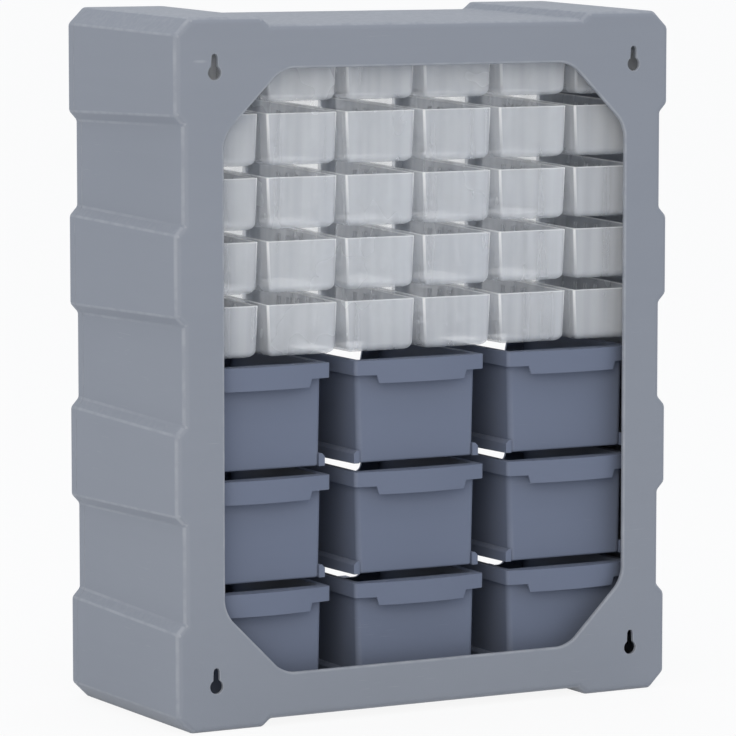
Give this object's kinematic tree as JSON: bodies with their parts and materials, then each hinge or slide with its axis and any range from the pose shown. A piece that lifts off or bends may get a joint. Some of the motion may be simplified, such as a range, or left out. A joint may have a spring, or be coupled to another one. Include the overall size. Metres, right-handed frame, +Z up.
{
  "type": "parts bin cabinet",
  "caption": "Wall or bench cabinet for small parts: rows of clear drawers above large open bins, in a ribbed plastic shell with an open back.",
  "frame": {"origin": "on the floor under the middle of the cabinet", "axes": "+Z up; the drawers open towards -Y, the open back and the keyholes face +Y, +X is to the left when the back is seen"},
  "size_m": [0.38, 0.16, 0.47],
  "materials": {
    "shell_plastic": "fine moulded texture, blue-grey",
    "grid_plastic": "fine moulded texture, blue-grey",
    "bin_plastic": "satin, darker blue-grey",
    "clear_plastic": "milky clear, smooth"
  },
  "bodies": {
    "cabinet": {"rear_shell": "shell_plastic", "front_frame": "shell_plastic", "top_rail": "grid_plastic", "middle_rail": "grid_plastic", "base_rail": "grid_plastic", "small_uprights": "grid_plastic", "bin_channels": "grid_plastic", "small_shelf_1": "grid_plastic", "small_shelf_2": "grid_plastic", "small_shelf_3": "grid_plastic", "small_shelf_4": "grid_plastic", "bin_shelf_1": "grid_plastic", "bin_shelf_2": "grid_plastic"},
    "small_drawer_r1c1": {"small_drawer_r1c1": "clear_plastic"},
    "small_drawer_r1c2": {"small_drawer_r1c2": "clear_plastic"},
    "small_drawer_r1c3": {"small_drawer_r1c3": "clear_plastic"},
    "small_drawer_r1c4": {"small_drawer_r1c4": "clear_plastic"},
    "small_drawer_r1c5": {"small_drawer_r1c5": "clear_plastic"},
    "small_drawer_r1c6": {"small_drawer_r1c6": "clear_plastic"},
    "small_drawer_r2c1": {"small_drawer_r2c1": "clear_plastic"},
    "small_drawer_r2c2": {"small_drawer_r2c2": "clear_plastic"},
    "small_drawer_r2c3": {"small_drawer_r2c3": "clear_plastic"},
    "small_drawer_r2c4": {"small_drawer_r2c4": "clear_plastic"},
    "small_drawer_r2c5": {"small_drawer_r2c5": "clear_plastic"},
    "small_drawer_r2c6": {"small_drawer_r2c6": "clear_plastic"},
    "small_drawer_r3c1": {"small_drawer_r3c1": "clear_plastic"},
    "small_drawer_r3c2": {"small_drawer_r3c2": "clear_plastic"},
    "small_drawer_r3c3": {"small_drawer_r3c3": "clear_plastic"},
    "small_drawer_r3c4": {"small_drawer_r3c4": "clear_plastic"},
    "small_drawer_r3c5": {"small_drawer_r3c5": "clear_plastic"},
    "small_drawer_r3c6": {"small_drawer_r3c6": "clear_plastic"},
    "small_drawer_r4c1": {"small_drawer_r4c1": "clear_plastic"},
    "small_drawer_r4c2": {"small_drawer_r4c2": "clear_plastic"},
    "small_drawer_r4c3": {"small_drawer_r4c3": "clear_plastic"},
    "small_drawer_r4c4": {"small_drawer_r4c4": "clear_plastic"},
    "small_drawer_r4c5": {"small_drawer_r4c5": "clear_plastic"},
    "small_drawer_r4c6": {"small_drawer_r4c6": "clear_plastic"},
    "small_drawer_r5c1": {"small_drawer_r5c1": "clear_plastic"},
    "small_drawer_r5c2": {"small_drawer_r5c2": "clear_plastic"},
    "small_drawer_r5c3": {"small_drawer_r5c3": "clear_plastic"},
    "small_drawer_r5c4": {"small_drawer_r5c4": "clear_plastic"},
    "small_drawer_r5c5": {"small_drawer_r5c5": "clear_plastic"},
    "small_drawer_r5c6": {"small_drawer_r5c6": "clear_plastic"},
    "large_bin_r1c1": {"large_bin_r1c1": "bin_plastic"},
    "large_bin_r1c2": {"large_bin_r1c2": "bin_plastic"},
    "large_bin_r1c3": {"large_bin_r1c3": "bin_plastic"},
    "large_bin_r2c1": {"large_bin_r2c1": "bin_plastic"},
    "large_bin_r2c2": {"large_bin_r2c2": "bin_plastic"},
    "large_bin_r2c3": {"large_bin_r2c3": "bin_plastic"},
    "large_bin_r3c1": {"large_bin_r3c1": "bin_plastic"},
    "large_bin_r3c2": {"large_bin_r3c2": "bin_plastic"},
    "large_bin_r3c3": {"large_bin_r3c3": "bin_plastic"}
  },
  "joints": [
    {"name": "slide_small_drawer_r1c1", "type": "slide", "parent": "cabinet", "child": "small_drawer_r1c1", "axis": [0, -1, 0], "range_m": [0, 0.1]},
    {"name": "slide_small_drawer_r1c2", "type": "slide", "parent": "cabinet", "child": "small_drawer_r1c2", "axis": [0, -1, 0], "range_m": [0, 0.1]},
    {"name": "slide_small_drawer_r1c3", "type": "slide", "parent": "cabinet", "child": "small_drawer_r1c3", "axis": [0, -1, 0], "range_m": [0, 0.1]},
    {"name": "slide_small_drawer_r1c4", "type": "slide", "parent": "cabinet", "child": "small_drawer_r1c4", "axis": [0, -1, 0], "range_m": [0, 0.1]},
    {"name": "slide_small_drawer_r1c5", "type": "slide", "parent": "cabinet", "child": "small_drawer_r1c5", "axis": [0, -1, 0], "range_m": [0, 0.1]},
    {"name": "slide_small_drawer_r1c6", "type": "slide", "parent": "cabinet", "child": "small_drawer_r1c6", "axis": [0, -1, 0], "range_m": [0, 0.1]},
    {"name": "slide_small_drawer_r2c1", "type": "slide", "parent": "cabinet", "child": "small_drawer_r2c1", "axis": [0, -1, 0], "range_m": [0, 0.1]},
    {"name": "slide_small_drawer_r2c2", "type": "slide", "parent": "cabinet", "child": "small_drawer_r2c2", "axis": [0, -1, 0], "range_m": [0, 0.1]},
    {"name": "slide_small_drawer_r2c3", "type": "slide", "parent": "cabinet", "child": "small_drawer_r2c3", "axis": [0, -1, 0], "range_m": [0, 0.1]},
    {"name": "slide_small_drawer_r2c4", "type": "slide", "parent": "cabinet", "child": "small_drawer_r2c4", "axis": [0, -1, 0], "range_m": [0, 0.1]},
    {"name": "slide_small_drawer_r2c5", "type": "slide", "parent": "cabinet", "child": "small_drawer_r2c5", "axis": [0, -1, 0], "range_m": [0, 0.1]},
    {"name": "slide_small_drawer_r2c6", "type": "slide", "parent": "cabinet", "child": "small_drawer_r2c6", "axis": [0, -1, 0], "range_m": [0, 0.1]},
    {"name": "slide_small_drawer_r3c1", "type": "slide", "parent": "cabinet", "child": "small_drawer_r3c1", "axis": [0, -1, 0], "range_m": [0, 0.1]},
    {"name": "slide_small_drawer_r3c2", "type": "slide", "parent": "cabinet", "child": "small_drawer_r3c2", "axis": [0, -1, 0], "range_m": [0, 0.1]},
    {"name": "slide_small_drawer_r3c3", "type": "slide", "parent": "cabinet", "child": "small_drawer_r3c3", "axis": [0, -1, 0], "range_m": [0, 0.1]},
    {"name": "slide_small_drawer_r3c4", "type": "slide", "parent": "cabinet", "child": "small_drawer_r3c4", "axis": [0, -1, 0], "range_m": [0, 0.1]},
    {"name": "slide_small_drawer_r3c5", "type": "slide", "parent": "cabinet", "child": "small_drawer_r3c5", "axis": [0, -1, 0], "range_m": [0, 0.1]},
    {"name": "slide_small_drawer_r3c6", "type": "slide", "parent": "cabinet", "child": "small_drawer_r3c6", "axis": [0, -1, 0], "range_m": [0, 0.1]},
    {"name": "slide_small_drawer_r4c1", "type": "slide", "parent": "cabinet", "child": "small_drawer_r4c1", "axis": [0, -1, 0], "range_m": [0, 0.1]},
    {"name": "slide_small_drawer_r4c2", "type": "slide", "parent": "cabinet", "child": "small_drawer_r4c2", "axis": [0, -1, 0], "range_m": [0, 0.1]},
    {"name": "slide_small_drawer_r4c3", "type": "slide", "parent": "cabinet", "child": "small_drawer_r4c3", "axis": [0, -1, 0], "range_m": [0, 0.1]},
    {"name": "slide_small_drawer_r4c4", "type": "slide", "parent": "cabinet", "child": "small_drawer_r4c4", "axis": [0, -1, 0], "range_m": [0, 0.1]},
    {"name": "slide_small_drawer_r4c5", "type": "slide", "parent": "cabinet", "child": "small_drawer_r4c5", "axis": [0, -1, 0], "range_m": [0, 0.1]},
    {"name": "slide_small_drawer_r4c6", "type": "slide", "parent": "cabinet", "child": "small_drawer_r4c6", "axis": [0, -1, 0], "range_m": [0, 0.1]},
    {"name": "slide_small_drawer_r5c1", "type": "slide", "parent": "cabinet", "child": "small_drawer_r5c1", "axis": [0, -1, 0], "range_m": [0, 0.1]},
    {"name": "slide_small_drawer_r5c2", "type": "slide", "parent": "cabinet", "child": "small_drawer_r5c2", "axis": [0, -1, 0], "range_m": [0, 0.1]},
    {"name": "slide_small_drawer_r5c3", "type": "slide", "parent": "cabinet", "child": "small_drawer_r5c3", "axis": [0, -1, 0], "range_m": [0, 0.1]},
    {"name": "slide_small_drawer_r5c4", "type": "slide", "parent": "cabinet", "child": "small_drawer_r5c4", "axis": [0, -1, 0], "range_m": [0, 0.1]},
    {"name": "slide_small_drawer_r5c5", "type": "slide", "parent": "cabinet", "child": "small_drawer_r5c5", "axis": [0, -1, 0], "range_m": [0, 0.1]},
    {"name": "slide_small_drawer_r5c6", "type": "slide", "parent": "cabinet", "child": "small_drawer_r5c6", "axis": [0, -1, 0], "range_m": [0, 0.1]},
    {"name": "slide_large_bin_r1c1", "type": "slide", "parent": "cabinet", "child": "large_bin_r1c1", "axis": [0, -1, 0], "range_m": [0, 0.1]},
    {"name": "slide_large_bin_r1c2", "type": "slide", "parent": "cabinet", "child": "large_bin_r1c2", "axis": [0, -1, 0], "range_m": [0, 0.1]},
    {"name": "slide_large_bin_r1c3", "type": "slide", "parent": "cabinet", "child": "large_bin_r1c3", "axis": [0, -1, 0], "range_m": [0, 0.1]},
    {"name": "slide_large_bin_r2c1", "type": "slide", "parent": "cabinet", "child": "large_bin_r2c1", "axis": [0, -1, 0], "range_m": [0, 0.1]},
    {"name": "slide_large_bin_r2c2", "type": "slide", "parent": "cabinet", "child": "large_bin_r2c2", "axis": [0, -1, 0], "range_m": [0, 0.1]},
    {"name": "slide_large_bin_r2c3", "type": "slide", "parent": "cabinet", "child": "large_bin_r2c3", "axis": [0, -1, 0], "range_m": [0, 0.1]},
    {"name": "slide_large_bin_r3c1", "type": "slide", "parent": "cabinet", "child": "large_bin_r3c1", "axis": [0, -1, 0], "range_m": [0, 0.1]},
    {"name": "slide_large_bin_r3c2", "type": "slide", "parent": "cabinet", "child": "large_bin_r3c2", "axis": [0, -1, 0], "range_m": [0, 0.1]},
    {"name": "slide_large_bin_r3c3", "type": "slide", "parent": "cabinet", "child": "large_bin_r3c3", "axis": [0, -1, 0], "range_m": [0, 0.1]}
  ]
}
